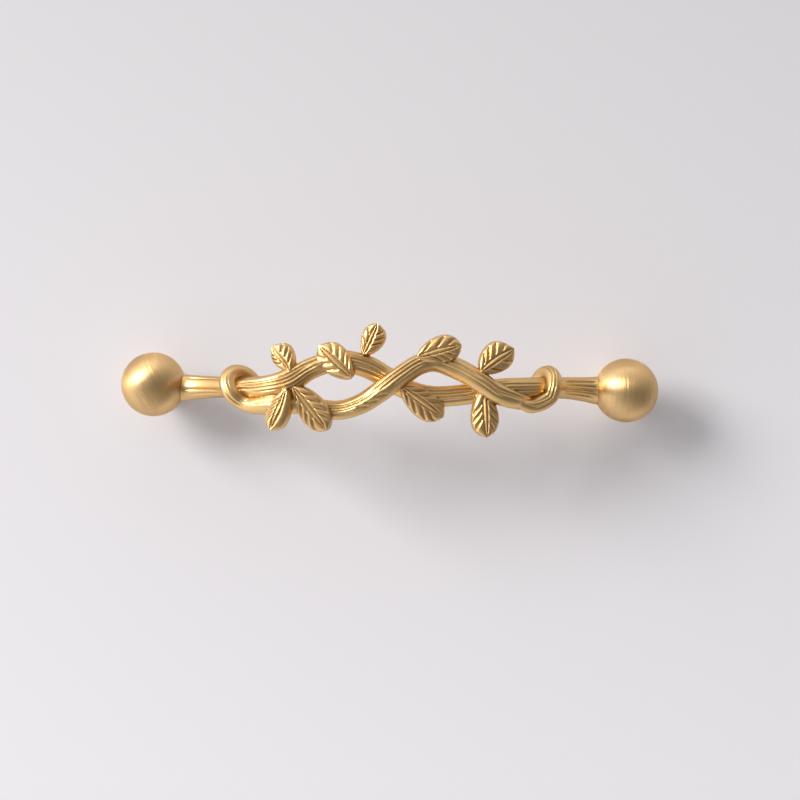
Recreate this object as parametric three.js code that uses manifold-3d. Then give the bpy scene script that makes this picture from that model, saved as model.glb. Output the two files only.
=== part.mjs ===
import * as THREE from 'three';
import { mergeVertices } from 'three/addons/utils/BufferGeometryUtils.js';
import Module from 'manifold-3d';

const wasm = await Module();
wasm.setup();

// Brass cabinet handle: a cast bar of two entwined twigs with leaves, held by two turned ball posts.
// Millimetres. +Z points away from the drawer front, and the two fixing screws lie on y = 0.
const screwSpacing = 128;
const axisHeight = 16;
const ballRadius = 8.65;

// Bow of the bar: level at the balls, then rising to a level middle stretch.
const bowRise = 19;
const levelShare = 0.5;

// Turned posts.
const footRadius = 6;
const footRim = 1.4;
const footEdge = 0.3;
const waistRadius = 3.7;
const waistHeight = 6.3;
const threadDrillRadius = 1.65;
const threadDepth = 11;
const threadLeadIn = 0.45;
const postFacets = 32;

// Joint between bar and post: a spigot on the bar, soldered into a socket bored across the ball.
const spigotRadius = 2.5;
const spigotLength = 5;
const spigotRoot = 2;
const jointClearance = 0.3;
const spigotFacets = 24;

// Twigs.
const twigRadius = 2.75;
const neckEndRadius = 3.75;
const runIn = 2.5;
const loopRadius = 2.1;
const loopBite = 0.9;
const leftLoop = { x: -40.65, y: -0.6, lean: -2.15, leanAngle: 31, from: -178, to: 155 };
const rightLoop = { x: 43.9, y: 0.3, lean: 1.55, leanAngle: -44, from: 130, to: -178 };
const loopStops = 10;
const taperAngle = -160;
const barkRidges = 5;
const barkDepth = 0.045;
const loopBarkDepth = 0.03;
const twigFacets = 15;
const twigStep = 2.3;

// Leaves.
const leafThickness = 1.7;
const leafDraft = 0.25;
const leafRows = 16;
const leafColumns = 8;
const veinPairs = 4;
const veinDepth = 0.35;
const midribRise = 0.3;
const midribGroove = 0.3;

const postX = screwSpacing / 2;
const chordDepth = Math.sqrt(ballRadius ** 2 - neckEndRadius ** 2);
const neckEndX = postX - chordDepth;

const brass = () => new THREE.MeshStandardMaterial({ color: 0xc9a063, roughness: 0.34, metalness: 1 });

function solidOf(geometry) {
  const bare = geometry.clone();
  bare.deleteAttribute('normal');
  bare.deleteAttribute('uv');
  const merged = mergeVertices(bare, 1e-4);
  const vertProperties = new Float32Array(merged.attributes.position.array);
  const triVerts = new Uint32Array(merged.index.array);
  return new wasm.Manifold(new wasm.Mesh({ numProp: 3, vertProperties, triVerts }));
}

function meshOf(solid, name) {
  const { vertProperties, triVerts } = solid.getMesh();
  const geometry = new THREE.BufferGeometry();
  geometry.setAttribute('position', new THREE.BufferAttribute(vertProperties, 3));
  geometry.setIndex(new THREE.BufferAttribute(triVerts, 1));
  geometry.computeVertexNormals();
  const mesh = new THREE.Mesh(geometry, brass());
  mesh.name = name;
  return mesh;
}

function warp(geometry, place) {
  const position = geometry.attributes.position;
  const point = new THREE.Vector3();
  for (let i = 0; i < position.count; i += 1) {
    point.fromBufferAttribute(position, i);
    place(point);
    position.setXYZ(i, point.x, point.y, point.z);
  }
  return geometry;
}

// The bar's axis seen from the side. The necks run on into the balls, so it goes beyond their ends.
class BowLine extends THREE.Curve {
  getPoint(t, target = new THREE.Vector3()) {
    const x = (neckEndX + 2 * runIn) * (2 * t - 1);
    const inward = 1 - Math.abs(x) / neckEndX;
    const rise = bowRise * THREE.MathUtils.smoothstep(inward, 0, 1 - levelShare);
    return target.set(x, 0, axisHeight + rise);
  }
}

const bowLine = new BowLine();
bowLine.arcLengthDivisions = 400;
const halfLength = bowLine.getLength() / 2 - 2 * runIn;

// The bar is laid out flat, with x along the bow line from the middle, and then bent.
function bend(point) {
  const along = 0.5 + point.x / bowLine.getLength();
  const centre = bowLine.getPointAt(along);
  const tangent = bowLine.getTangentAt(along);
  return point.set(centre.x - tangent.z * point.z, point.y, centre.z + tangent.x * point.z);
}

// The stations below count x in steps of about a millimetre, 63 from the middle to the end of a neck.
const stepsToNeck = 63;
const stationStep = halfLength / stepsToNeck;

// A twig station is [x, y, z above the bow line, swell], where swell counts plain twig radii.
function twigPath(stations) {
  const points = stations.map(([x, y, z]) => new THREE.Vector3(x * stationStep, y, z));
  const curve = new THREE.CatmullRomCurve3(points, false, 'centripetal');
  const radii = stations.map((station) => station[3] * twigRadius);
  const radiusAt = (u) => {
    const place = curve.getUtoTmapping(u) * (radii.length - 1);
    const low = Math.min(Math.floor(place), radii.length - 2);
    return THREE.MathUtils.lerp(radii[low], radii[low + 1], place - low);
  };
  return { curve, radiusAt };
}

// A cylinder drawn along the path, with bark ridges that wind slowly round it.
function twigSolid({ curve, radiusAt }, depth, turns) {
  const steps = Math.ceil(curve.getLength() / twigStep);
  const { normals, binormals } = curve.computeFrenetFrames(steps, false);
  const tube = new THREE.CylinderGeometry(1, 1, 1, twigFacets, steps);
  return solidOf(warp(tube, (point) => {
    const i = Math.round((0.5 - point.y) * steps);
    const along = i / steps;
    const angle = Math.atan2(point.z, point.x) + turns * 2 * Math.PI * along;
    const radius = radiusAt(along) * (1 + depth * Math.cos(barkRidges * angle));
    const across = normals[i].clone().multiplyScalar(point.x * radius);
    across.addScaledVector(binormals[i], point.z * radius);
    bend(point.copy(curve.getPointAt(along)).add(across));
  }));
}

const neckFlare = neckEndRadius / twigRadius;
const loopSwell = loopRadius / twigRadius;
const loopTip = 0.3 * loopSwell;

// Stations of a loop wound round a neck: 0 degrees is above it in y, 90 degrees in front of it.
// Its hidden end behind the neck tapers.
function loopStations({ x, y, lean, leanAngle, from, to }) {
  const reach = twigRadius + loopRadius - loopBite;
  return Array.from({ length: loopStops }, (_, i) => {
    const degree = THREE.MathUtils.mapLinear(i, 0, loopStops - 1, from, to);
    const angle = THREE.MathUtils.degToRad(degree);
    const leaning = lean * Math.cos(THREE.MathUtils.degToRad(degree - leanAngle));
    const swell = degree < taperAngle ? loopTip : loopSwell;
    return [x + leaning, y + reach * Math.cos(angle), reach * Math.sin(angle), swell];
  });
}

const runInX = stepsToNeck + runIn;

const straightTwig = twigPath([
  [-runInX, -0.75, 0, 1.4],
  [-stepsToNeck, -0.7, 0, neckFlare],
  [-59.3, -0.6, 0, 1.21],
  [-52.2, -0.55, 0, 1.07],
  [-39.3, -0.6, 0, 1],
  [-31, -0.15, 0, 1.05],
  [-25.9, 1.25, 0, 1.18],
  [-20.7, 4.35, 0, 1.03],
  [-13.7, 6.55, 0, 1.04],
  [-6.4, 5.3, -0.9, 1.09],
  [-1.1, 2.55, -1.9, 1.05],
  [4.1, -0.45, -2, 1],
  [10.6, -2.25, -1.3, 1],
  [19.7, -1.7, -1.6, 1],
  [27.5, -0.35, -1.6, 1],
  [36.6, 0.15, -0.4, 1],
  [47.1, 0.4, 0, 1.05],
  [54.3, 0.4, 0, 1.11],
  [60, 0.15, 0, 1.26],
  [stepsToNeck, -0.1, 0, neckFlare],
  [runInX, -0.2, 0, 1.48],
]);

// It starts behind the left neck, winds over its top and front, and then runs along below.
const windingTwig = twigPath([
  ...loopStations(leftLoop),
  [-37.3, -5.25, 0.6, loopSwell],
  [-33, -5.1, -0.3, 0.97],
  [-27.8, -4.7, -0.4, 1.1],
  [-23.6, -4.9, -0.2, 0.9],
  [-18.1, -5.9, 0, 0.91],
  [-12.7, -6.25, 0, 0.93],
  [-7.5, -4.65, 0.9, 0.97],
  [-2.4, -1.35, 1.9, 1],
  [2.7, 2.6, 2, 1],
  [7.9, 5.95, 1.2, 0.99],
  [11.8, 6.7, 0.5, 0.99],
  [17.4, 4.9, 0.6, 1.02],
  [23.5, 1.55, 1.6, 0.99],
  [28.7, -1.85, 1.4, 0.94],
  [34.3, -3.3, 0.4, 0.8],
  [39.2, -3.5, -0.4, 0.6],
]);

// It tapers to a point on the winding twig's tail and winds round the right neck.
const pointedLoop = twigPath([
  [32.7, -3.7, 1.9, 0.3 * loopSwell],
  [35.1, -4.35, 1.6, 0.73 * loopSwell],
  [37.8, -4.45, 1.7, 0.94 * loopSwell],
  ...loopStations(rightLoop),
]);

function stationOn(path, x) {
  let low = 0;
  let high = 1;
  for (let i = 0; i < 30; i += 1) {
    const middle = (low + high) / 2;
    if (path.curve.getPointAt(middle).x < x * stationStep) low = middle;
    else high = middle;
  }
  return { centre: path.curve.getPointAt(low), radius: path.radiusAt(low) };
}

// Half width of a leaf, as a share of its widest, from the stalk (0) to the tip (1).
function outline(s) {
  const swell = Math.sin(Math.PI * s ** 0.85) ** 0.62;
  return Math.max(swell, 0.1);
}

// Height of a leaf's upper face over its mean plane: pillowed halves, a raised midrib and side veins.
function relief(s, across) {
  const side = Math.abs(across);
  const pillow = 0.35 * (1 - side ** 2);
  const midrib = side < 0.05 ? midribRise : 0;
  const beside = side > 0.1 && side < 0.3 ? -midribGroove : 0;
  const fade = side > 0.9 || side < 0.1 ? 0 : Math.sin(Math.PI * s);
  const vein = -veinDepth * fade * (0.5 - 0.5 * Math.cos(2 * Math.PI * veinPairs * s));
  return pillow + midrib + beside + vein;
}

// A box warped into a leaf. Its rows sweep forward like the side veins, its middle column is the midrib.
function leafSolid(leaf) {
  const { path, x, dy, dz, heading, length, width, roll = 0, arch = 0, bias = 0.5 } = leaf;
  const root = stationOn(path, x);
  const sheet = warp(new THREE.BoxGeometry(1, 2, 1, leafRows, leafColumns, 1), (point) => {
    const s = point.x + 0.5;
    const across = Math.sign(point.y) * Math.abs(point.y) ** 1.3;
    const sweep = 0.16 * Math.abs(across) * Math.sin(Math.PI * s);
    const half = width * outline(s) * (across > 0 ? bias : 1 - bias);
    const draft = point.z < 0 ? leafDraft * outline(s) : 0;
    const top = point.z > 0 ? relief(s, across) : 0;
    point.x = length * (s + sweep);
    point.y = across * (half + draft);
    point.z = point.z * leafThickness + top - arch * (across ** 2 + (2 * s - 1) ** 2);
  });
  const turn = new THREE.Euler(THREE.MathUtils.degToRad(roll), 0, THREE.MathUtils.degToRad(heading), 'ZYX');
  const place = new THREE.Matrix4().makeRotationFromEuler(turn);
  place.setPosition(root.centre.x, root.centre.y + dy * root.radius, root.centre.z + dz * root.radius);
  return solidOf(warp(sheet.applyMatrix4(place), bend));
}

// dy and dz place each stalk from the twig's axis, in radii of the twig.
const leaves = [
  { path: straightTwig, x: -25.4, dy: 0.75, dz: 0.3, heading: 131, length: 8.2, width: 5.8, roll: -18, bias: 0.42 },
  { path: straightTwig, x: -26.3, dy: -0.6, dz: 0.8, heading: -107.5, length: 11.2, width: 5.4, roll: 8 },
  { path: straightTwig, x: -24.6, dy: -0.68, dz: 0.72, heading: -50.5, length: 14.3, width: 7.4, roll: 6 },
  { path: straightTwig, x: -9.5, dy: -1.3, dz: 1.05, heading: 138, length: 11.9, width: 7.5, bias: 0.48, arch: 0.4 },
  { path: straightTwig, x: -6.7, dy: 0.95, dz: 0.4, heading: 66, length: 8.8, width: 5.9, bias: 0.42 },
  { path: windingTwig, x: 7.1, dy: 0.8, dz: 0.6, heading: 15.5, length: 11.7, width: 6.9, bias: 0.53 },
  { path: windingTwig, x: 23.4, dy: 1, dz: 0.1, heading: 37, length: 10.1, width: 7.6, bias: 0.55 },
  { path: straightTwig, x: 3.1, dy: 0, dz: 1, heading: -35, length: 13.3, width: 7.2, bias: 0.48 },
  { path: straightTwig, x: 24.4, dy: 0.1, dz: 1.1, heading: -86.5, length: 12.2, width: 7 },
];

function ballCutter(x) {
  const sphere = new THREE.SphereGeometry(ballRadius + jointClearance, postFacets, postFacets / 2);
  return solidOf(sphere.translate(x, 0, axisHeight));
}

function rodAcross(fromX, toX, radius) {
  const rod = new THREE.CylinderGeometry(radius, radius, Math.abs(toX - fromX), spigotFacets);
  return solidOf(rod.rotateZ(Math.PI / 2).translate((fromX + toX) / 2, 0, axisHeight));
}

// The spigot grows out of the neck and ends inside the ball.
const spigotStart = postX - ballRadius - spigotRoot;
const spigotEnd = postX - ballRadius + spigotLength;

function vineBar() {
  let bar = twigSolid(straightTwig, barkDepth, 0.6)
    .add(twigSolid(windingTwig, barkDepth, 0.8))
    .add(twigSolid(pointedLoop, loopBarkDepth, 0));
  for (const leaf of leaves) bar = bar.add(leafSolid(leaf));
  for (const side of [-1, 1]) {
    bar = bar.subtract(ballCutter(side * postX));
    bar = bar.add(rodAcross(side * spigotStart, side * spigotEnd, spigotRadius));
  }
  return meshOf(bar, 'vine_bar');
}

function postProfile() {
  const meeting = Math.asin(waistRadius / ballRadius);
  const neckHeight = axisHeight - ballRadius * Math.cos(meeting);
  const profile = new THREE.Path();
  profile.moveTo(0, threadDepth);
  profile.lineTo(threadDrillRadius, threadDepth);
  profile.lineTo(threadDrillRadius, threadLeadIn);
  profile.lineTo(threadDrillRadius + threadLeadIn, 0);
  profile.lineTo(footRadius - footEdge, 0);
  profile.lineTo(footRadius, footEdge);
  profile.lineTo(footRadius, footRim);
  profile.quadraticCurveTo(waistRadius, footRim + 1, waistRadius, waistHeight);
  profile.lineTo(waistRadius, neckHeight);
  profile.absarc(0, axisHeight, ballRadius, meeting - Math.PI / 2, Math.PI / 2, false);
  return profile.getPoints(7);
}

function ballPost(side, name) {
  const turned = new THREE.LatheGeometry(postProfile(), postFacets).rotateX(Math.PI / 2);
  const post = solidOf(turned.translate(side * postX, 0, 0));
  const socket = rodAcross(side * spigotStart, side * (spigotEnd + jointClearance), spigotRadius + jointClearance);
  return meshOf(post.subtract(socket), name);
}

const handle = new THREE.Group();
handle.add(vineBar());
handle.add(ballPost(-1, 'ball_post_left'));
handle.add(ballPost(1, 'ball_post_right'));

export default handle;
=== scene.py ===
import math

import bpy
import numpy as np
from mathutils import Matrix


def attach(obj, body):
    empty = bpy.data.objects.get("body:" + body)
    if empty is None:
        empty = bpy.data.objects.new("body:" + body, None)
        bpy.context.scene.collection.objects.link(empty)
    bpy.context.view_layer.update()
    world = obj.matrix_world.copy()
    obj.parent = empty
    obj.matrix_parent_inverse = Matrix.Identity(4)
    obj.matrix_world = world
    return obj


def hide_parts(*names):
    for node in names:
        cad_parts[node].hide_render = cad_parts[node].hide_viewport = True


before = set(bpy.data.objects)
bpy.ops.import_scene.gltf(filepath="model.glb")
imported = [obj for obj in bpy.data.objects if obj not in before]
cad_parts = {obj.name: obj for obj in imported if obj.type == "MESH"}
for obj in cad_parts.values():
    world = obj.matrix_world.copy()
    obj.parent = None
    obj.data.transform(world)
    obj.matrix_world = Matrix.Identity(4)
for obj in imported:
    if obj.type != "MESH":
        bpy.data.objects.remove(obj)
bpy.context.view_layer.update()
mm = 0.001  # the sizes below are in millimetres

# what the bar and its posts share
handle = {
    "screwSpacing": 128,
    "axisHeight": 16,
    "ballRadius": 8.65,
    "spigotRadius": 2.5,
    "spigotLength": 5,
    "socketClearance": 0.1,
    "seam": 0.07,
    "rodFacets": 96,
    "ballFacets": 128,
}
postX = handle["screwSpacing"] / 2
axisHeight = handle["axisHeight"]


def smoothStep(low, high, value):
    t = np.clip((value - low) / (high - low), 0, 1)
    return t * t * (3 - 2 * t)


def selectOnly(*pieces):
    bpy.ops.object.select_all(action="DESELECT")
    for piece in pieces:
        piece.select_set(True)
        bpy.context.view_layer.objects.active = piece


def getPoints(piece):
    points = np.empty(len(piece.data.vertices) * 3)
    piece.data.vertices.foreach_get("co", points)
    return points.reshape(-1, 3) / mm


def setPoints(piece, points):
    piece.data.vertices.foreach_set("co", (points * mm).ravel())
    piece.data.update()


def applyModifier(piece, kind, **values):
    selectOnly(piece)
    modifier = piece.modifiers.new(kind.title(), kind)
    for key, value in values.items():
        setattr(modifier, key, value)
    bpy.ops.object.modifier_apply(modifier=modifier.name)


def combine(piece, tool, operation):
    applyModifier(piece, "BOOLEAN", object=tool, operation=operation, solver="MANIFOLD")
    bpy.data.objects.remove(tool)


def addSheet(name, columns, rows):
    # a flat grid to be shaped, with each point's place across it from 0 to 1
    bpy.ops.object.select_all(action="DESELECT")
    bpy.ops.mesh.primitive_grid_add(x_subdivisions=columns, y_subdivisions=rows, size=2 * mm)
    sheet = bpy.context.object
    sheet.name = name
    flat = getPoints(sheet)
    return sheet, np.clip((flat[:, 0] + 1) / 2, 0, 1), np.clip((flat[:, 1] + 1) / 2, 0, 1)


def closeUp(piece):
    # weld the seam, cap the open ends and turn every face outwards
    selectOnly(piece)
    bpy.ops.object.mode_set(mode="EDIT")
    bpy.ops.mesh.select_all(action="SELECT")
    bpy.ops.mesh.remove_doubles(threshold=0.002 * mm)
    bpy.ops.mesh.fill_holes(sides=0)
    bpy.ops.mesh.select_all(action="SELECT")
    bpy.ops.mesh.normals_make_consistent(inside=False)
    bpy.ops.object.mode_set(mode="OBJECT")


# The bow of the bar: level at the balls, then rising to a level middle stretch

bow = {
    "rise": 19,
    "levelShare": 0.5,
    "neckEndRadius": 3.75,
    "runIn": 2.5,
    "stepsToNeck": 63,
    "samples": 8001,
}


def bowLine():
    # length along the line from the middle, then x, z, and the direction's x and z at many places on it
    neckEnd = postX - math.sqrt(handle["ballRadius"] ** 2 - bow["neckEndRadius"] ** 2)
    x = np.linspace(-1, 1, bow["samples"]) * (neckEnd + 2 * bow["runIn"])
    z = axisHeight + bow["rise"] * smoothStep(0, 1 - bow["levelShare"], 1 - np.abs(x) / neckEnd)
    length = np.append(0, np.cumsum(np.hypot(np.diff(x), np.diff(z))))
    length -= length[-1] / 2
    return np.stack([length, x, z, np.gradient(x, length), np.gradient(z, length)])


bowPlaces = bowLine()
# the twigs' stations are counted in even steps along the bow line, and so follow the screw spacing
stationStep = (bowPlaces[0, -1] - 2 * bow["runIn"]) / bow["stepsToNeck"]


def bent(points):
    # the bar is laid out flat, with x along the bow line, and then bent
    x, z, alongX, alongZ = (np.interp(points[:, 0], bowPlaces[0], column) for column in bowPlaces[1:])
    return np.stack([x - alongZ * points[:, 2], points[:, 1], z + alongX * points[:, 2]], axis=1)


# Twigs

twigs = {
    "radius": 2.75,
    "loopRadius": 2.1,
    "loopBite": 0.9,
    "loopStops": 10,
    "taperAngle": -160,
    "tipShare": 0.3,
    "leftLoop": {"x": -40.65, "y": -0.6, "lean": -2.15, "leanAngle": 31, "from": -178, "to": 155},
    "rightLoop": {"x": 43.9, "y": 0.3, "lean": 1.55, "leanAngle": -44, "from": 130, "to": -178},
    "barkRidges": 5,
    "barkDepth": 0.02,
    "barkTurns": 0.7,
    "grooveFade": 0.22,
    "curveSamples": 60,
    "step": 0.2,
    "facets": 120,
    "rightLoopFront": 36,
}
loopSwell = twigs["loopRadius"] / twigs["radius"]


def loopStations(loop):
    # 0 degrees is above the neck in y, 90 degrees in front of it, and the hidden end behind it tapers.
    # A loop's x and lean are in steps along the bow line.
    reach = twigs["radius"] + twigs["loopRadius"] - twigs["loopBite"]
    stations = []
    for degree in np.linspace(loop["from"], loop["to"], twigs["loopStops"]):
        angle = math.radians(degree)
        x = loop["x"] + loop["lean"] * math.cos(math.radians(degree - loop["leanAngle"]))
        swell = loopSwell * (twigs["tipShare"] if degree < twigs["taperAngle"] else 1)
        stations.append([x, loop["y"] + reach * math.cos(angle), reach * math.sin(angle), swell])
    return stations


# each station is x in steps along the bow line, y, height over that line, and radius in twig radii
straightStations = [
    [-bow["stepsToNeck"] - bow["runIn"], -0.75, 0, 1.39],
    [-bow["stepsToNeck"], -0.7, 0, 1.33],
    [-59.3, -0.6, 0, 1.21],
    [-52.2, -0.55, 0, 1.07],
    [-39.3, -0.6, 0, 1],
    [-31, -0.15, 0, 1.05],
    [-25.9, 1.25, 0, 1.18],
    [-20.7, 4.35, 0, 1.03],
    [-13.7, 6.55, 0, 1.04],
    [-6.4, 5.3, -0.9, 1.09],
    [-1.1, 2.55, -1.9, 1.05],
    [4.1, -0.45, -2, 1],
    [10.6, -2.25, -1.3, 1],
    [19.7, -1.7, -1.6, 1],
    [27.5, -0.35, -1.6, 1],
    [36.6, 0.15, -0.4, 1],
    [47.1, 0.4, 0, 1.05],
    [54.3, 0.4, 0, 1.11],
    [60, 0.15, 0, 1.26],
    [bow["stepsToNeck"], -0.1, 0, 1.41],
    [bow["stepsToNeck"] + bow["runIn"], -0.25, 0, 1.51],
]
windingStations = loopStations(twigs["leftLoop"]) + [
    [-37.3, -5.25, 0.6, loopSwell],
    [-33, -5.1, -0.3, 0.97],
    [-27.8, -4.7, -0.4, 1.1],
    [-23.6, -4.9, -0.2, 0.9],
    [-18.1, -5.9, 0, 0.91],
    [-12.7, -6.25, 0, 0.93],
    [-7.5, -4.65, 0.9, 0.97],
    [-2.4, -1.35, 1.9, 1],
    [2.7, 2.6, 2, 1],
    [7.9, 5.95, 1.2, 0.99],
    [11.8, 6.7, 0.5, 0.99],
    [17.4, 4.9, 0.6, 1.02],
    [23.5, 1.55, 1.6, 0.99],
    [28.7, -1.85, 1.4, 0.94],
    [34.3, -3.3, 0.4, 0.8],
    [39.2, -3.5, -0.4, 0.6],
]
rightLoopStations = [
    [32.7, -3.7, 1.9, twigs["tipShare"] * loopSwell],
    [35.1, -4.35, 1.6, 0.73 * loopSwell],
    [37.8, -4.45, 1.7, 0.94 * loopSwell],
] + loopStations(twigs["rightLoop"])

# bark grooves: from x, to x, degrees up from the front at each end, depth, half width. The x is in
# millimetres along the bow line.
straightGrooves = [
    [-62, -46, 50, 55, 0.3, 0.28],
    [-63, -46, -6, -8, 0.42, 0.3],
    [-60.5, -46, -34, -30, 0.28, 0.3],
    [-40, -27, 30, 44, 0.3, 0.28],
    [-40.5, -19, 14, 22, 0.38, 0.26],
    [-40.5, -17, -6, 6, 0.42, 0.28],
    [-36, -16, -26, -10, 0.36, 0.28],
    [-31.5, -14.5, 40, 36, 0.34, 0.28],
    [-28.5, -17, -38, -26, 0.3, 0.3],
    [-12, 0, 40, 42, 0.3, 0.26],
    [-12, 0, 22, 26, 0.36, 0.28],
    [-11.5, 0, 4, 8, 0.26, 0.28],
    [-9.5, 0, -20, -12, 0.26, 0.3],
    [6, 26, 34, 24, 0.36, 0.28],
    [8, 23, 10, 8, 0.3, 0.26],
    [7, 25, -12, -8, 0.38, 0.3],
    [9.5, 24, -32, -28, 0.26, 0.3],
    [27, 42, 24, 22, 0.3, 0.28],
    [29, 42, 4, 4, 0.18, 0.26],
    [28, 42, -16, -12, 0.3, 0.28],
    [48, 63, 36, 32, 0.3, 0.28],
    [48, 63, 12, 8, 0.22, 0.24],
    [48, 63, -8, -12, 0.34, 0.3],
    [48, 62, -35, -35, 0.24, 0.3],
]
windingGrooves = [
    [-36, -27, 20, 16, 0.24, 0.3],
    [-23, -2, 34, 26, 0.36, 0.26],
    [-21, -1, 16, 12, 0.38, 0.26],
    [-20, -6, -2, 2, 0.26, 0.26],
    [-15, -9, -18, -20, 0.24, 0.28],
    [-8.4, -5.4, 2, -34, 0.24, 0.26],
    [-6.2, -3.2, 0, -38, 0.28, 0.26],
    [-3.8, -1.2, 0, -36, 0.24, 0.26],
    [-5.5, 10, 34, 30, 0.32, 0.26],
    [-3, 12, 8, 10, 0.34, 0.28],
    [-1, 9, -16, -8, 0.28, 0.3],
    [8, 25, 24, 16, 0.32, 0.28],
    [10, 28, 2, 0, 0.24, 0.28],
    [11.5, 31, -20, -12, 0.34, 0.28],
    [19.5, 36, 34, 22, 0.36, 0.28],
    [26, 38, 6, 10, 0.2, 0.28],
]
rightLoopGrooves = [
    [35, 47, 34, 40, 0.26, 0.24],
    [35, 47, 8, 14, 0.28, 0.24],
    [36, 47, -20, -14, 0.26, 0.24],
]
leftLoopGrooves = [
    [-43, -37, 28, 30, 0.2, 0.26],
    [-43, -37, -10, -6, 0.18, 0.26],
]


def splineThrough(stations):
    # centripetal Catmull-Rom through the stations, cut into even steps
    points = np.array(stations, float)
    points[:, 0] *= stationStep
    points = np.vstack([2 * points[0] - points[1], points, 2 * points[-1] - points[-2]])
    t = np.linspace(0, 1, twigs["curveSamples"], endpoint=False)[:, None]
    dense = []
    for i in range(1, len(points) - 2):
        a, b, c, d = points[i - 1:i + 3]
        ab, bc, cd = (np.linalg.norm((q - p)[:3]) ** 0.5 for p, q in ((a, b), (b, c), (c, d)))
        leave = ((b - a) / ab - (c - a) / (ab + bc) + (c - b) / bc) * bc
        arrive = ((c - b) / bc - (d - b) / (bc + cd) + (d - c) / cd) * bc
        dense.append(b + leave * t + (3 * (c - b) - 2 * leave - arrive) * t ** 2
                     + (2 * (b - c) + leave + arrive) * t ** 3)
    dense = np.vstack(dense + [points[-2:-1]])
    reach = np.append(0, np.cumsum(np.linalg.norm(np.diff(dense[:, :3], axis=0), axis=1)))
    even = np.linspace(0, reach[-1], int(reach[-1] / twigs["step"]) + 1)
    path = np.stack([np.interp(even, reach, dense[:, k]) for k in range(4)], axis=1)
    path[:, 3] *= twigs["radius"]
    return path


def carriedFrames(path, startX):
    # the front faces +Z where the twig passes startX, and is carried along it without twist
    tangents = np.gradient(path[:, :3], axis=0)
    tangents /= np.linalg.norm(tangents, axis=1)[:, None]
    fronts = np.zeros_like(tangents)
    start = int(np.argmin(np.abs(path[:, 0] - startX)))
    for order in (range(start, len(path)), range(start, -1, -1)):
        front = np.array([0.0, 0.0, 1.0])
        for i in order:
            front = front - tangents[i] * (front @ tangents[i])
            front /= np.linalg.norm(front)
            fronts[i] = front
    return fronts, np.cross(fronts, tangents)


def makeTwig(name, path, startX, grooves):
    fronts, ups = carriedFrames(path, startX)
    sheet, along, around = addSheet(name, len(path) - 1, twigs["facets"])
    row = np.round(along * (len(path) - 1)).astype(int)
    angle = (around * 2 - 1) * np.pi
    ridges = np.cos(twigs["barkRidges"] * (angle + 2 * np.pi * twigs["barkTurns"] * along))
    radius = path[row, 3] * (1 + twigs["barkDepth"] * (ridges - 1))
    carved = np.zeros(len(row))
    for fromX, toX, fromAngle, toAngle, depth, halfWidth in grooves:
        share = (path[row, 0] - fromX) / (toX - fromX)
        middle = np.radians(fromAngle + (toAngle - fromAngle) * share)
        off = np.angle(np.exp(1j * (angle - middle))) * radius
        fade = smoothStep(0, twigs["grooveFade"], share) * smoothStep(0, twigs["grooveFade"], 1 - share)
        carved = np.maximum(carved, depth * fade * np.exp(-(off / halfWidth) ** 2))
    reach = (radius - carved)[:, None]
    aside = np.cos(angle)[:, None] * fronts[row] + np.sin(angle)[:, None] * ups[row]
    setPoints(sheet, bent(path[row, :3] + reach * aside))
    closeUp(sheet)
    return sheet


# Leaves

# Places across a leaf run from 0 at the midrib to 1 at the edge, and along it from 0 at the stalk to 1.
leafShape = {
    "rows": 140,
    "around": 240,
    "wrap": [0, 0.56, 0.6, 0.96, 1],
    "thickness": 1.7,
    "draft": 0.25,
    "sweep": 0.16,
    "widestAt": 0.85,
    "fullness": 0.62,
    "endShare": 0.1,
    "pillow": 0.5,
    "pillowCrest": 0.42,
    "midribRise": 0.34,
    "midribWidth": 0.075,
    "midribEnd": 0.88,
    "midribGroove": 0.26,
    "midribGrooveAt": 0.17,
    "midribGrooveWidth": 0.06,
    "gougeDepth": 0.5,
    "gougeWidth": 0.02,
    "gougeInnerWidth": 0.7,
    "gougeTail": 2,
    "gougeSlant": 0.32,
    "gougeMiddle": 0.65,
    "gougeInnerEnd": (0.2, 0.48),
    "gougeOuterEnd": (0.98, 0.86),
    "edgeDrop": 0.35,
    "edgeFrom": 0.84,
}

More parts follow.
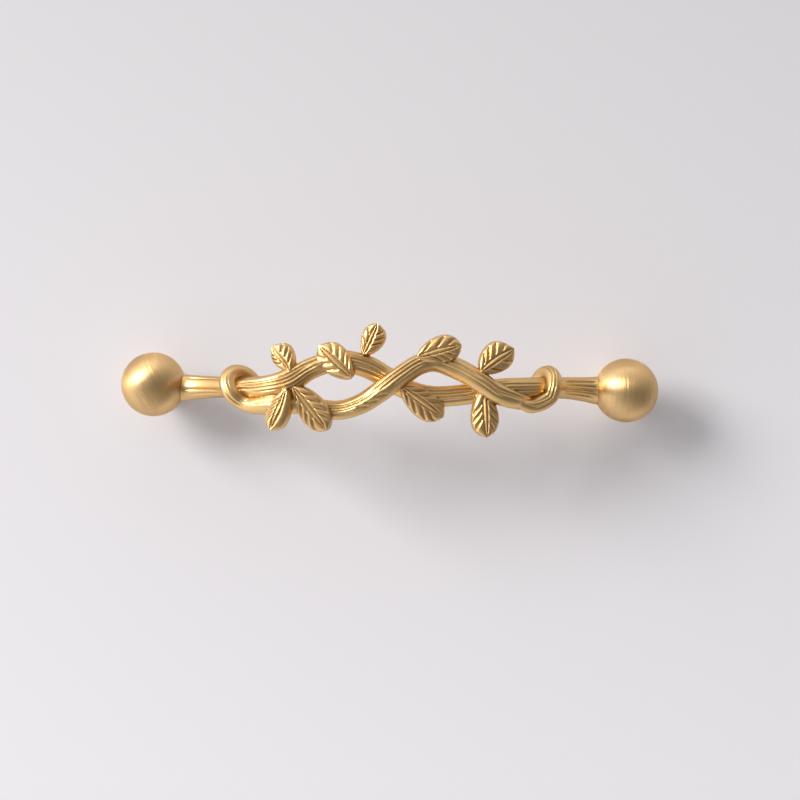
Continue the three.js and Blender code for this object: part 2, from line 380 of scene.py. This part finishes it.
# x is in millimetres along the bow line, and dy and dz place each stalk from its twig's axis, in radii
# of the twig. Tilt turns a leaf to face left, and bias is the left half's share of the width. The gouges
# are the carved side veins of the left and right half, as places along the leaf.
leaves = [
    {"twig": "straight", "x": -25.4, "dy": 0.75, "dz": 0.45, "heading": 131, "length": 8.2, "width": 6,
     "roll": 5, "tilt": 24, "arch": 0.3, "bias": 0.42,
     "gouges": {"left": [0.46, 0.63, 0.79], "right": [0.32, 0.54, 0.75]}},
    {"twig": "straight", "x": -26.3, "dy": -0.6, "dz": 0.8, "heading": -107.5, "length": 11.2, "width": 5.4,
     "roll": 8, "tilt": 4, "arch": 0.3,
     "gouges": {"left": [], "right": [0.36, 0.47, 0.58, 0.68, 0.78]}},
    {"twig": "straight", "x": -24.6, "dy": -0.68, "dz": 0.42, "heading": -50.5, "length": 14.3,
     "width": 7.4, "roll": 4, "tilt": 10, "arch": 0.35,
     "gouges": {"left": [0.3, 0.47, 0.66, 0.81], "right": [0.28, 0.45, 0.63, 0.79]}},
    {"twig": "straight", "x": -9.5, "dy": -1.3, "dz": 1.3, "heading": 138, "length": 11.9, "width": 7.5,
     "roll": 6, "tilt": 11, "arch": 0.7, "bias": 0.48,
     "gouges": {"left": [0.44, 0.64, 0.8], "right": [0.29, 0.43, 0.6, 0.78]}},
    {"twig": "straight", "x": -6.7, "dy": 0.95, "dz": 0.4, "heading": 66, "length": 8.75, "width": 5.9,
     "tilt": 4, "arch": 0.2, "bias": 0.42,
     "gouges": {"left": [0.24, 0.46, 0.72], "right": [0.46, 0.62, 0.8]}},
    {"twig": "winding", "x": 7.1, "dy": 0.8, "dz": 0.6, "heading": 15.5, "length": 11.7, "width": 6.9,
     "tilt": 2, "arch": 0.3, "bias": 0.53,
     "gouges": {"left": [0.3, 0.6, 0.84], "right": [0.44, 0.6, 0.76]}},
    {"twig": "winding", "x": 23.4, "dy": 1, "dz": 0.1, "heading": 37, "length": 10.1, "width": 7.6,
     "tilt": -9, "arch": 0.2, "bias": 0.55,
     "gouges": {"left": [0.27, 0.46, 0.67, 0.86], "right": [0.36, 0.72]}},
    {"twig": "straight", "x": 3.1, "dy": 0, "dz": 1, "heading": -35, "length": 13.3, "width": 7.2,
     "arch": 0.3, "bias": 0.48,
     "gouges": {"left": [0.35, 0.54, 0.74], "right": [0.26, 0.45, 0.66, 0.83]}},
    {"twig": "straight", "x": 24.4, "dy": 0.1, "dz": 1.1, "heading": -86.5, "length": 12.2, "width": 7,
     "tilt": -8, "arch": 0.3,
     "gouges": {"left": [0.26, 0.44, 0.62, 0.82], "right": [0.42, 0.58, 0.74]}},
]


def leafOutline(s):
    arc = np.clip(np.sin(np.pi * s ** leafShape["widestAt"]), 0, 1)
    return np.maximum(arc ** leafShape["fullness"], leafShape["endShare"])


def leafRelief(leaf, along, across):
    # pillowed halves, a thin midrib between two grooves, and wedge-shaped gouges in the outer half
    shape = leafShape
    side = np.abs(across)
    fade = smoothStep(1, shape["midribEnd"], along)
    crest = shape["pillowCrest"]
    relief = shape["pillow"] * (1 - ((side - crest) / (1 - crest)) ** 2)
    relief += shape["midribRise"] * np.exp(-(side / shape["midribWidth"]) ** 2) * fade
    grooveOff = (side - shape["midribGrooveAt"]) / shape["midribGrooveWidth"]
    relief -= shape["midribGroove"] * np.exp(-grooveOff ** 2) * fade
    relief -= shape["edgeDrop"] * smoothStep(shape["edgeFrom"], 1, side) ** 2
    reach = smoothStep(*shape["gougeInnerEnd"], side) * smoothStep(*shape["gougeOuterEnd"], side)
    width = shape["gougeWidth"] * (shape["gougeInnerWidth"] + side)
    for half, places in ((across > 0, leaf["gouges"]["left"]), (across < 0, leaf["gouges"]["right"])):
        for place in places:
            off = along - place - shape["gougeSlant"] * (side - shape["gougeMiddle"])
            wedge = np.exp(-(off / np.where(off > 0, width, shape["gougeTail"] * width)) ** 2)
            relief -= shape["gougeDepth"] * wedge * reach * half
    return relief


def turned(points, *turns):
    # each turn is in degrees, from the first of two axes towards the second
    for degrees, axes in turns:
        c, s = math.cos(math.radians(degrees)), math.sin(math.radians(degrees))
        first, second = points[:, axes].T
        points[:, axes] = np.stack([first * c - second * s, first * s + second * c], axis=1)
    return points


def makeLeaf(name, leaf, path):
    # the sheet is wrapped round the leaf: over the top, down one wall, back underneath and up the other
    sheet, s, around = addSheet(name, leafShape["rows"], leafShape["around"])
    across = np.interp(around, leafShape["wrap"], [-1, 1, 1, -1, -1])
    under = np.interp(around, leafShape["wrap"], [0, 0, 1, 1, 0])
    bias = leaf.get("bias", 0.5)
    outline = leafOutline(s)
    half = leaf["width"] * outline * np.where(across > 0, bias, 1 - bias)
    half += leafShape["draft"] * outline * under
    sweep = leafShape["sweep"] * np.abs(across) * np.sin(np.pi * s)
    height = leafShape["thickness"] * (0.5 - under) + leafRelief(leaf, s + sweep, across) * (1 - under)
    height -= leaf["arch"] * (across ** 2 + (2 * s - 1) ** 2)
    points = np.stack([leaf["length"] * (s + sweep), across * half, height], axis=1)
    points = turned(points, (leaf.get("roll", 0), [1, 2]), (leaf["heading"], [0, 1]),
                    (leaf.get("tilt", 0), [0, 2]))
    root = path[np.argmin(np.abs(path[:, 0] - leaf["x"]))]
    setPoints(sheet, bent(points + root[:3] + root[3] * np.array([0, leaf["dy"], leaf["dz"]])))
    closeUp(sheet)
    return sheet


# The casting: twigs and leaves fused, softened as a polished casting is, and fitted to the balls

casting = {
    "voxel": 0.12,
    "softening": 0.5,
    "triangles": 180000,
    "spigotRoot": 2,
    "hollowSpread": 3,
    "hollowGain": 0.35,
}


def addRod(fromX, toX, radius):
    bpy.ops.object.select_all(action="DESELECT")
    bpy.ops.mesh.primitive_cylinder_add(
        vertices=handle["rodFacets"], radius=radius * mm, depth=abs(toX - fromX) * mm,
        location=((fromX + toX) / 2 * mm, 0, axisHeight * mm), rotation=(0, math.pi / 2, 0))
    bpy.ops.object.transform_apply(location=True, rotation=True, scale=True)
    return bpy.context.object


def addBall(x, radius):
    bpy.ops.object.select_all(action="DESELECT")
    bpy.ops.mesh.primitive_uv_sphere_add(
        segments=handle["ballFacets"], ring_count=handle["ballFacets"] // 2, radius=radius * mm,
        location=(x * mm, 0, axisHeight * mm))
    bpy.ops.object.transform_apply(location=True, rotation=True, scale=True)
    return bpy.context.object


def makeVineBar():
    straight = splineThrough(straightStations)
    winding = splineThrough(windingStations)
    rightLoop = splineThrough(rightLoopStations)
    paths = {"straight": straight, "winding": winding}
    pieces = [
        makeTwig("straightTwig", straight, 0, straightGrooves),
        makeTwig("windingTwig", winding, 0, windingGrooves + leftLoopGrooves),
        makeTwig("rightLoop", rightLoop, twigs["rightLoopFront"], rightLoopGrooves),
    ]
    for i, leaf in enumerate(leaves):
        pieces.append(makeLeaf(f"leaf{i + 1}", leaf, paths[leaf["twig"]]))
    selectOnly(*pieces)
    bpy.ops.object.join()
    bar = bpy.context.object
    bar.name = bar.data.name = "vineCasting"
    print("vine: twigs and leaves shaped")
    applyModifier(bar, "REMESH", mode="VOXEL", voxel_size=casting["voxel"] * mm)
    applyModifier(bar, "SMOOTH", factor=casting["softening"])
    triangles = sum(len(face.vertices) - 2 for face in bar.data.polygons)
    print("vine: fused,", triangles, "triangles")
    applyModifier(bar, "DECIMATE", ratio=min(1, casting["triangles"] / triangles))
    for side in (-1, 1):
        combine(bar, addBall(side * postX, handle["ballRadius"] + handle["seam"]), "DIFFERENCE")
        inner = side * (postX - handle["ballRadius"] - casting["spigotRoot"])
        outer = side * (postX - handle["ballRadius"] + handle["spigotLength"])
        combine(bar, addRod(inner, outer, handle["spigotRadius"]), "UNION")
    return bar


def markHollows(piece):
    # stores how hollow the surface is at each point: 0.5 is flat, 1 deep in a crease, 0 on a sharp edge.
    # The cast material paints shade into the creases by it.
    mesh = piece.data
    points = getPoints(piece)
    normals = np.empty(len(points) * 3)
    mesh.vertices.foreach_get("normal", normals)
    normals = normals.reshape(-1, 3)
    edges = np.empty(len(mesh.edges) * 2, int)
    mesh.edges.foreach_get("vertices", edges)
    a, b = edges.reshape(-1, 2).T
    count = np.bincount(a, minlength=len(points)) + np.bincount(b, minlength=len(points))
    rise = np.zeros(len(points))
    for here, there in ((a, b), (b, a)):
        step = points[there] - points[here]
        square = np.einsum("ij,ij->i", step, step)
        bend = np.einsum("ij,ij->i", step, normals[here]) / np.maximum(square, 1e-4)
        rise += np.bincount(here, weights=bend, minlength=len(points))
    hollow = rise / np.maximum(count, 1)
    for _ in range(casting["hollowSpread"]):
        spread = np.bincount(a, weights=hollow[b], minlength=len(points))
        spread += np.bincount(b, weights=hollow[a], minlength=len(points))
        hollow = 0.5 * hollow + 0.5 * spread / np.maximum(count, 1)
    attribute = mesh.attributes.new("hollow", "FLOAT", "POINT")
    attribute.data.foreach_set("value", np.clip(0.5 + casting["hollowGain"] * hollow, 0, 1))


# Posts

post = {
    "footRadius": 6,
    "footRim": 1.4,
    "footEdge": 0.3,
    "waistRadius": 3.7,
    "waistHeight": 6.3,
    "waistPull": 1,
    "holeRadius": 1.65,
    "holeDepth": 11,
    "holeLeadIn": 0.45,
    "socketMouth": 1,
    "edgeSteps": 4,
    "waistSteps": 16,
    "ballSteps": 48,
    "segments": 144,
    "brushMapSize": 20,
}


def postProfile():
    # radius and height of the turned outline, from the hole's floor round the foot to the top
    meeting = math.asin(post["waistRadius"] / handle["ballRadius"])
    outline = [
        (0, post["holeDepth"]),
        (post["holeRadius"], post["holeDepth"]),
        (post["holeRadius"], post["holeLeadIn"]),
        (post["holeRadius"] + post["holeLeadIn"], 0),
        (post["footRadius"] - post["footEdge"], 0),
    ]
    for k in range(1, post["edgeSteps"] + 1):
        angle = math.pi / 2 * k / post["edgeSteps"]
        outline.append((post["footRadius"] - post["footEdge"] * (1 - math.sin(angle)),
                        post["footEdge"] * (1 - math.cos(angle))))
    start, end = post["footRim"], post["waistHeight"]
    pull = start + post["waistPull"]
    for k in range(post["waistSteps"] + 1):
        t = k / post["waistSteps"]
        height = (1 - t) ** 2 * start + 2 * t * (1 - t) * pull + t * t * end
        radius = (1 - t) ** 2 * post["footRadius"] + (1 - (1 - t) ** 2) * post["waistRadius"]
        outline.append((radius, height))
    for k in range(post["ballSteps"] + 1):
        angle = meeting + (math.pi - meeting) * k / post["ballSteps"]
        outline.append((handle["ballRadius"] * math.sin(angle),
                        axisHeight - handle["ballRadius"] * math.cos(angle)))
    return outline


def makePost(name, side):
    # one point is drawn along the outline, and the outline spun round the post's axis
    outline = postProfile()
    bpy.ops.object.select_all(action="DESELECT")
    bpy.ops.mesh.primitive_plane_add(size=mm)
    piece = bpy.context.object
    piece.name = piece.data.name = name
    setPoints(piece, np.tile([side * postX, 0, outline[0][1]], (4, 1)))
    bpy.ops.object.mode_set(mode="EDIT")
    bpy.ops.mesh.select_all(action="SELECT")
    bpy.ops.mesh.merge(type="CENTER")
    for (r, z), (nextR, nextZ) in zip(outline, outline[1:]):
        step = ((nextR - r) * mm, 0, (nextZ - z) * mm)
        bpy.ops.mesh.extrude_region_move(TRANSFORM_OT_translate={"value": step})
    bpy.ops.mesh.select_all(action="SELECT")
    bpy.ops.mesh.spin(steps=post["segments"], angle=2 * math.pi, center=(side * postX * mm, 0, 0),
                      axis=(0, 0, 1))
    bpy.ops.object.mode_set(mode="OBJECT")
    closeUp(piece)
    inner = side * (postX - handle["ballRadius"] - post["socketMouth"])
    outer = side * (postX - handle["ballRadius"] + handle["spigotLength"] + handle["socketClearance"])
    combine(piece, addRod(inner, outer, handle["spigotRadius"] + handle["socketClearance"]), "DIFFERENCE")
    return piece


def layBrushMap(piece, degrees):
    # the map's first axis runs across the brush lines, whose highlights spread that way
    points = getPoints(piece)
    angle = math.radians(degrees)
    across = points[:, 0] * math.cos(angle) + points[:, 1] * math.sin(angle)
    along = points[:, 1] * math.cos(angle) - points[:, 0] * math.sin(angle)
    corners = np.empty(len(piece.data.loops), int)
    piece.data.loops.foreach_get("vertex_index", corners)
    brush = piece.data.uv_layers.new(name="brush")
    places = np.stack([across, along], axis=1) / post["brushMapSize"]
    brush.data.foreach_set("uv", places[corners].ravel())


# Finishes

finish = {
    "castBrass": (0.80, 0.505, 0.19),
    # painted shade: the colour the cast brass darkens to in its creases
    "castPaintedShade": (0.40, 0.22, 0.05),
    "paintedShadeFrom": 0.54,
    "paintedShadeTo": 0.8,
    "castRoughness": 0.34,
    "castSwing": 0.06,
    "castLineDepth": 0.05,
    "castBrushAngle": 60,
    "turnedBrass": (0.80, 0.515, 0.21),
    "turnedRoughness": 0.39,
    "turnedSwing": 0.09,
    "turnedLineDepth": 0.18,
    "brushAngle": {"left": 33, "right": 0},
    "brushSpread": 0.72,
    "linesAcross": 1500,
    "linesAlong": 80,
    "linesDetail": 4,
    "linesRoughness": 0.65,
    "linesFrom": 0.3,
    "linesTo": 0.7,
    "edgeTint": (0.62, 0.5, 0.36),
    "lacquer": 0.6,
    "lacquerGloss": 1.75,
    "castSheen": 0.28,
    "turnedSheen": 0.38,
    "smoothUnder": 35,
}


def brushGroup():
    # fine rubbed lines: noise drawn out along the strokes
    group = bpy.data.node_groups.new("brushLines", "ShaderNodeTree")
    for name, default in (("Angle", 0), ("Across", finish["linesAcross"]), ("Along", finish["linesAlong"])):
        socket = group.interface.new_socket(name, in_out="INPUT", socket_type="NodeSocketFloat")
        socket.default_value = default
    group.interface.new_socket("Lines", in_out="OUTPUT", socket_type="NodeSocketFloat")
    nodes, links = group.nodes, group.links
    entry, leave = nodes.new("NodeGroupInput"), nodes.new("NodeGroupOutput")
    place, turn = nodes.new("ShaderNodeTexCoord"), nodes.new("ShaderNodeVectorRotate")
    turn.rotation_type = "Z_AXIS"
    stretch, scale = nodes.new("ShaderNodeVectorMath"), nodes.new("ShaderNodeCombineXYZ")
    stretch.operation = "MULTIPLY"
    noise = nodes.new("ShaderNodeTexNoise")
    noise.inputs["Scale"].default_value = 1
    noise.inputs["Detail"].default_value = finish["linesDetail"]
    noise.inputs["Roughness"].default_value = finish["linesRoughness"]
    links.new(place.outputs["Object"], turn.inputs["Vector"])
    links.new(entry.outputs["Angle"], turn.inputs["Angle"])
    links.new(entry.outputs["Across"], scale.inputs["X"])
    links.new(entry.outputs["Along"], scale.inputs["Y"])
    links.new(entry.outputs["Along"], scale.inputs["Z"])
    links.new(turn.outputs["Vector"], stretch.inputs[0])
    links.new(scale.outputs["Vector"], stretch.inputs[1])
    links.new(stretch.outputs["Vector"], noise.inputs["Vector"])
    links.new(noise.outputs["Fac"], leave.inputs["Lines"])
    return group


def newMaterial(name, color, roughness, sheen):
    material = bpy.data.materials.new(name)
    material.use_nodes = True
    shader = material.node_tree.nodes["Principled BSDF"]
    shader.inputs["Base Color"].default_value = (*color, 1)
    shader.inputs["Metallic"].default_value = 1
    shader.inputs["Roughness"].default_value = roughness
    shader.inputs["Specular Tint"].default_value = (*finish["edgeTint"], 1)
    shader.inputs["Coat Weight"].default_value = finish["lacquer"]
    shader.inputs["Coat IOR"].default_value = finish["lacquerGloss"]
    shader.inputs["Coat Roughness"].default_value = sheen
    return material, material.node_tree.nodes, material.node_tree.links, shader


def addBrushing(nodes, links, shader, group, angle, roughness, swing, depth):
    # the lines make the metal rougher and smoother by turns, and cut into it
    lines = nodes.new("ShaderNodeGroup")
    lines.node_tree = group
    lines.inputs["Angle"].default_value = -math.radians(angle)
    sheen = nodes.new("ShaderNodeMapRange")
    sheen.inputs["From Min"].default_value = finish["linesFrom"]
    sheen.inputs["From Max"].default_value = finish["linesTo"]
    sheen.inputs["To Min"].default_value = roughness - swing
    sheen.inputs["To Max"].default_value = roughness + swing
    bump = nodes.new("ShaderNodeBump")
    bump.inputs["Distance"].default_value = depth * mm
    links.new(lines.outputs["Lines"], sheen.inputs["Value"])
    links.new(sheen.outputs["Result"], shader.inputs["Roughness"])
    links.new(lines.outputs["Lines"], bump.inputs["Height"])
    links.new(bump.outputs["Normal"], shader.inputs["Normal"])


def castMaterial(group):
    material, nodes, links, shader = newMaterial("castBrass", finish["castBrass"], finish["castRoughness"],
                                                 finish["castSheen"])
    # painted shade: the base colour darkens from the brass colour towards the shade colour as the surface
    # grows hollower, in creases and where parts meet
    hollow = nodes.new("ShaderNodeAttribute")
    hollow.attribute_name = "hollow"
    ramp = nodes.new("ShaderNodeValToRGB")
    ramp.color_ramp.elements[0].position = finish["paintedShadeFrom"]
    ramp.color_ramp.elements[0].color = (*finish["castBrass"], 1)
    ramp.color_ramp.elements[1].position = finish["paintedShadeTo"]
    ramp.color_ramp.elements[1].color = (*finish["castPaintedShade"], 1)
    links.new(hollow.outputs["Fac"], ramp.inputs["Fac"])
    links.new(ramp.outputs["Color"], shader.inputs["Base Color"])
    addBrushing(nodes, links, shader, group, finish["castBrushAngle"], finish["castRoughness"],
                finish["castSwing"], finish["castLineDepth"])
    return material


def turnedMaterial(group, side):
    material, nodes, links, shader = newMaterial(f"turnedBrass{side.title()}", finish["turnedBrass"],
                                                 finish["turnedRoughness"], finish["turnedSheen"])
    shader.inputs["Anisotropic"].default_value = finish["brushSpread"]
    tangent = nodes.new("ShaderNodeTangent")
    tangent.direction_type = "UV_MAP"
    tangent.uv_map = "brush"
    links.new(tangent.outputs["Tangent"], shader.inputs["Tangent"])
    addBrushing(nodes, links, shader, group, finish["brushAngle"][side], finish["turnedRoughness"],
                finish["turnedSwing"], finish["turnedLineDepth"])
    return material


# Stage, lights and camera

studio = {
    "cameraAt": (2.82, -3.39, 446.65),
    "cameraRoll": 0.74,
    "focalLength": 71.54,
    "keyFrom": (-1429, 760, 1176),
    "keySize": 860,
    "keyPower": 30,
    "zenith": 0.17,
    "horizon": 0.85,
    "roomAngle": 160,
    "brightSide": 2.3,
    "darkSide": 0.26,
    "roomColor": (0.97, 0.97, 1),
    "floorSize": 3000,
    "floorRoughness": 0.85,
    "floorSpan": 110,
    # painted light: the floor colours low down and high up, lighter at the bottom and darker at the top
    "floorLitLow": (0.92, 0.89, 0.905),
    "floorShadedHigh": (0.75, 0.725, 0.735),
}


def addStage():
    bpy.ops.object.select_all(action="DESELECT")
    bpy.ops.mesh.primitive_plane_add(size=studio["floorSize"] * mm)
    floor = bpy.context.object
    floor.name = "paleFloor"
    material = bpy.data.materials.new("palePaintWithPaintedLight")
    material.use_nodes = True
    nodes, links = material.node_tree.nodes, material.node_tree.links
    shader = nodes["Principled BSDF"]
    shader.inputs["Roughness"].default_value = studio["floorRoughness"]
    place, split = nodes.new("ShaderNodeTexCoord"), nodes.new("ShaderNodeSeparateXYZ")
    ramp, height = nodes.new("ShaderNodeValToRGB"), nodes.new("ShaderNodeMapRange")
    height.inputs["From Min"].default_value = -studio["floorSpan"] * mm
    height.inputs["From Max"].default_value = studio["floorSpan"] * mm
    # painted light: the floor is painted lighter towards the bottom and darker towards the top, standing in
    # for the fall of the light
    ramp.color_ramp.elements[0].color = (*studio["floorLitLow"], 1)
    ramp.color_ramp.elements[1].color = (*studio["floorShadedHigh"], 1)
    links.new(place.outputs["Object"], split.inputs["Vector"])
    links.new(split.outputs["Y"], height.inputs["Value"])
    links.new(height.outputs["Result"], ramp.inputs["Fac"])
    links.new(ramp.outputs["Color"], shader.inputs["Base Color"])
    floor.data.materials.append(material)


def addSoftLight(name, place, size, power):
    bpy.ops.object.light_add(type="AREA", location=[v * mm for v in place])
    light = bpy.context.object
    light.name = name
    light.data.size = size * mm
    light.data.energy = power
    light.rotation_euler = light.location.to_track_quat("Z", "Y").to_euler()


def addCamera():
    bpy.ops.object.camera_add(location=[v * mm for v in studio["cameraAt"]],
                              rotation=(0, 0, math.radians(studio["cameraRoll"])))
    camera = bpy.context.object
    camera.data.lens = studio["focalLength"]
    camera.data.sensor_width = 36
    camera.data.clip_start = 0.01
    bpy.context.scene.camera = camera


def lightScene():
    addSoftLight("keyLight", studio["keyFrom"], studio["keySize"], studio["keyPower"])
    # the room: dim overhead, brightest low down on the side of the key light
    world = bpy.data.worlds.new("studioWorld")
    world.use_nodes = True
    nodes, links = world.node_tree.nodes, world.node_tree.links
    place, split = nodes.new("ShaderNodeTexCoord"), nodes.new("ShaderNodeSeparateXYZ")
    level, facing = nodes.new("ShaderNodeMapRange"), nodes.new("ShaderNodeVectorMath")
    side, strength = nodes.new("ShaderNodeMapRange"), nodes.new("ShaderNodeMath")
    level.inputs["From Min"].default_value = 1
    level.inputs["From Max"].default_value = 0
    level.inputs["To Min"].default_value = studio["zenith"]
    level.inputs["To Max"].default_value = studio["horizon"]
    roomAngle = math.radians(studio["roomAngle"])
    facing.operation = "DOT_PRODUCT"
    facing.inputs[1].default_value = (math.cos(roomAngle), math.sin(roomAngle), 0)
    side.inputs["From Min"].default_value = -1
    side.inputs["To Min"].default_value = studio["darkSide"]
    side.inputs["To Max"].default_value = studio["brightSide"]
    strength.operation = "MULTIPLY"
    links.new(place.outputs["Generated"], split.inputs["Vector"])
    links.new(split.outputs["Z"], level.inputs["Value"])
    links.new(place.outputs["Generated"], facing.inputs[0])
    links.new(facing.outputs["Value"], side.inputs["Value"])
    links.new(level.outputs["Result"], strength.inputs[0])
    links.new(side.outputs["Result"], strength.inputs[1])
    links.new(strength.outputs["Value"], nodes["Background"].inputs["Strength"])
    nodes["Background"].inputs["Color"].default_value = (*studio["roomColor"], 1)
    bpy.context.scene.world = world
    bpy.context.scene.view_settings.view_transform = "Standard"


def dress(piece, material, node):
    selectOnly(piece)
    bpy.ops.object.shade_smooth_by_angle(angle=math.radians(finish["smoothUnder"]))
    piece.data.materials.clear()
    piece.data.materials.append(material)
    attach(piece, "root")
    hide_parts(node)


addCamera()
addStage()
lightScene()
print("stage and lights ready")

brushing = brushGroup()
vineBar = makeVineBar()
markHollows(vineBar)
dress(vineBar, castMaterial(brushing), "vine_bar")
print("vine: fitted to the balls,", len(vineBar.data.polygons), "faces")

for name, side in (("left", -1), ("right", 1)):
    turnedPost = makePost(f"{name}Post", side)
    layBrushMap(turnedPost, finish["brushAngle"][name])
    dress(turnedPost, turnedMaterial(brushing, name), f"ball_post_{name}")
print("posts turned")
